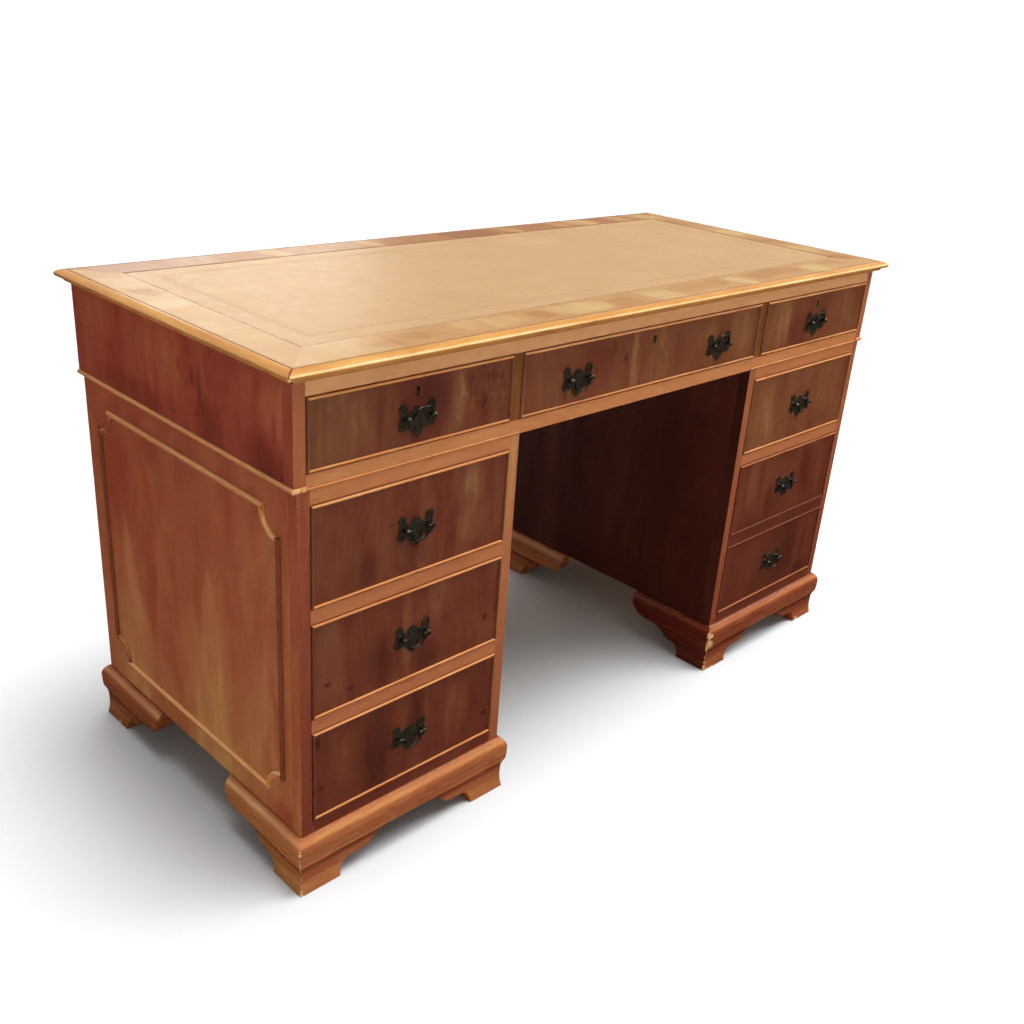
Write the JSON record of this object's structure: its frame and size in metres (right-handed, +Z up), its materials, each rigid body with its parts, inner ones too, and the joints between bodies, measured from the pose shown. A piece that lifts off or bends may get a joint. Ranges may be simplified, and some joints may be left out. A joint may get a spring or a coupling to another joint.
{
  "type": "kneehole desk",
  "caption": "Pedestal writing desk with a leather-lined top, frieze drawers over a central kneehole, and drawer pedestals on ogee bracket feet.",
  "frame": {"origin": "on the floor under the middle of the desk's overall length and depth", "axes": "+X along the length to the right of a person at the kneehole's drawer side, -Y out of the drawer fronts, +Z up"},
  "size_m": [1.372, 0.606, 0.775],
  "materials": {
    "yew_veneer": "polished red-brown yew veneer",
    "yew_rails": "polished lighter yew",
    "yew_mouldings": "polished golden yew",
    "yew_crossband": "polished golden yew cross-banding",
    "leather": "satin tan writing leather",
    "inner_softwood": "plain sawn softwood",
    "drawer_veneer": "polished red-brown yew veneer",
    "drawer_linings": "plain planed hardwood",
    "aged_brass": "dark antiqued brass"
  },
  "bodies": {
    "carcass": {"foot_corner_blocks": "inner_softwood", "frieze_back_panel": "yew_veneer", "frieze_dust_boards": "inner_softwood", "frieze_end_panels": "yew_veneer", "frieze_front_rails": "yew_rails", "frieze_front_stiles": "yew_rails", "frieze_partitions": "inner_softwood", "leather_writing_surface": "leather", "locating_dowels": "inner_softwood", "pedestal_backs": "yew_veneer", "pedestal_drawer_runners": "inner_softwood", "pedestal_inner_sides": "yew_veneer", "pedestal_outer_sides": "yew_veneer", "pedestal_rails": "yew_rails", "pedestal_stiles": "yew_rails", "pedestal_tops_and_bottoms": "inner_softwood", "plinth_fronts_and_backs": "yew_rails", "side_bracket_feet": "yew_rails", "side_panel_mouldings": "yew_mouldings", "top_board": "inner_softwood", "top_crossbanding": "yew_crossband", "top_edge_moulding": "yew_mouldings", "waist_bead": "yew_mouldings"},
    "frieze_left_drawer": {"frieze_left_drawer_front": "drawer_veneer", "frieze_left_drawer_box": "drawer_linings", "frieze_left_drawer_brassware": "aged_brass"},
    "frieze_centre_drawer": {"frieze_centre_drawer_front": "drawer_veneer", "frieze_centre_drawer_box": "drawer_linings", "frieze_centre_drawer_brassware": "aged_brass"},
    "frieze_right_drawer": {"frieze_right_drawer_front": "drawer_veneer", "frieze_right_drawer_box": "drawer_linings", "frieze_right_drawer_brassware": "aged_brass"},
    "left_upper_drawer": {"left_upper_drawer_front": "drawer_veneer", "left_upper_drawer_box": "drawer_linings", "left_upper_drawer_brassware": "aged_brass"},
    "left_middle_drawer": {"left_middle_drawer_front": "drawer_veneer", "left_middle_drawer_box": "drawer_linings", "left_middle_drawer_brassware": "aged_brass"},
    "left_lower_drawer": {"left_lower_drawer_front": "drawer_veneer", "left_lower_drawer_box": "drawer_linings", "left_lower_drawer_brassware": "aged_brass"},
    "right_upper_drawer": {"right_upper_drawer_front": "drawer_veneer", "right_upper_drawer_box": "drawer_linings", "right_upper_drawer_brassware": "aged_brass"},
    "right_file_drawer": {"right_file_drawer_front": "drawer_veneer", "right_file_drawer_box": "drawer_linings", "right_file_drawer_brassware": "aged_brass"},
    "frieze_left_drawer_bail": {"frieze_left_drawer_bail": "aged_brass"},
    "frieze_centre_drawer_bail_left": {"frieze_centre_drawer_bail_left": "aged_brass"},
    "frieze_centre_drawer_bail_right": {"frieze_centre_drawer_bail_right": "aged_brass"},
    "frieze_right_drawer_bail": {"frieze_right_drawer_bail": "aged_brass"},
    "left_upper_drawer_bail": {"left_upper_drawer_bail": "aged_brass"},
    "left_middle_drawer_bail": {"left_middle_drawer_bail": "aged_brass"},
    "left_lower_drawer_bail": {"left_lower_drawer_bail": "aged_brass"},
    "right_upper_drawer_bail": {"right_upper_drawer_bail": "aged_brass"},
    "right_file_drawer_bail_upper": {"right_file_drawer_bail_upper": "aged_brass"},
    "right_file_drawer_bail_lower": {"right_file_drawer_bail_lower": "aged_brass"},
    "frieze_left_drawer_lock_bolt": {"frieze_left_drawer_lock_bolt": "aged_brass"},
    "frieze_centre_drawer_lock_bolt": {"frieze_centre_drawer_lock_bolt": "aged_brass"},
    "frieze_right_drawer_lock_bolt": {"frieze_right_drawer_lock_bolt": "aged_brass"}
  },
  "joints": [
    {"name": "frieze_left_drawer_slide", "type": "slide", "parent": "carcass", "child": "frieze_left_drawer", "axis": [0, -1, 0], "range_m": [0, 0.4]},
    {"name": "frieze_centre_drawer_slide", "type": "slide", "parent": "carcass", "child": "frieze_centre_drawer", "axis": [0, -1, 0], "range_m": [0, 0.4]},
    {"name": "frieze_right_drawer_slide", "type": "slide", "parent": "carcass", "child": "frieze_right_drawer", "axis": [0, -1, 0], "range_m": [0, 0.4]},
    {"name": "left_upper_drawer_slide", "type": "slide", "parent": "carcass", "child": "left_upper_drawer", "axis": [0, -1, 0], "range_m": [0, 0.4]},
    {"name": "left_middle_drawer_slide", "type": "slide", "parent": "carcass", "child": "left_middle_drawer", "axis": [0, -1, 0], "range_m": [0, 0.4]},
    {"name": "left_lower_drawer_slide", "type": "slide", "parent": "carcass", "child": "left_lower_drawer", "axis": [0, -1, 0], "range_m": [0, 0.4]},
    {"name": "right_upper_drawer_slide", "type": "slide", "parent": "carcass", "child": "right_upper_drawer", "axis": [0, -1, 0], "range_m": [0, 0.4]},
    {"name": "right_file_drawer_slide", "type": "slide", "parent": "carcass", "child": "right_file_drawer", "axis": [0, -1, 0], "range_m": [0, 0.4]},
    {"name": "frieze_left_drawer_bail_hinge", "type": "hinge", "parent": "frieze_left_drawer", "child": "frieze_left_drawer_bail", "pos_m": [-0.47925, -0.2925, 0.6805], "axis": [-1, 0, 0], "range_deg": [-180, 40]},
    {"name": "frieze_centre_drawer_bail_left_hinge", "type": "hinge", "parent": "frieze_centre_drawer", "child": "frieze_centre_drawer_bail_left", "pos_m": [-0.175, -0.2925, 0.6805], "axis": [-1, 0, 0], "range_deg": [-20, 200]},
    {"name": "frieze_centre_drawer_bail_right_hinge", "type": "hinge", "parent": "frieze_centre_drawer", "child": "frieze_centre_drawer_bail_right", "pos_m": [0.175, -0.2925, 0.6805], "axis": [-1, 0, 0], "range_deg": [-196, 24]},
    {"name": "frieze_right_drawer_bail_hinge", "type": "hinge", "parent": "frieze_right_drawer", "child": "frieze_right_drawer_bail", "pos_m": [0.47925, -0.2925, 0.6805], "axis": [-1, 0, 0], "range_deg": [-196, 24]},
    {"name": "left_upper_drawer_bail_hinge", "type": "hinge", "parent": "left_upper_drawer", "child": "left_upper_drawer_bail", "pos_m": [-0.4755, -0.2925, 0.52333], "axis": [-1, 0, 0], "range_deg": [-20, 200]},
    {"name": "left_middle_drawer_bail_hinge", "type": "hinge", "parent": "left_middle_drawer", "child": "left_middle_drawer_bail", "pos_m": [-0.4755, -0.2925, 0.356], "axis": [-1, 0, 0], "range_deg": [-20, 200]},
    {"name": "left_lower_drawer_bail_hinge", "type": "hinge", "parent": "left_lower_drawer", "child": "left_lower_drawer_bail", "pos_m": [-0.4755, -0.2925, 0.18867], "axis": [-1, 0, 0], "range_deg": [-20, 200]},
    {"name": "right_upper_drawer_bail_hinge", "type": "hinge", "parent": "right_upper_drawer", "child": "right_upper_drawer_bail", "pos_m": [0.4755, -0.2925, 0.52333], "axis": [-1, 0, 0], "range_deg": [-20, 200]},
    {"name": "right_file_drawer_bail_upper_hinge", "type": "hinge", "parent": "right_file_drawer", "child": "right_file_drawer_bail_upper", "pos_m": [0.4755, -0.2925, 0.356], "axis": [-1, 0, 0], "range_deg": [-20, 200]},
    {"name": "right_file_drawer_bail_lower_hinge", "type": "hinge", "parent": "right_file_drawer", "child": "right_file_drawer_bail_lower", "pos_m": [0.4755, -0.2925, 0.18867], "axis": [-1, 0, 0], "range_deg": [-20, 200]},
    {"name": "frieze_left_drawer_lock_bolt_slide", "type": "slide", "parent": "frieze_left_drawer", "child": "frieze_left_drawer_lock_bolt", "axis": [0, 0, 1], "range_m": [0, 0.008]},
    {"name": "frieze_centre_drawer_lock_bolt_slide", "type": "slide", "parent": "frieze_centre_drawer", "child": "frieze_centre_drawer_lock_bolt", "axis": [0, 0, 1], "range_m": [0, 0.008]},
    {"name": "frieze_right_drawer_lock_bolt_slide", "type": "slide", "parent": "frieze_right_drawer", "child": "frieze_right_drawer_lock_bolt", "axis": [0, 0, 1], "range_m": [0, 0.008]}
  ]
}
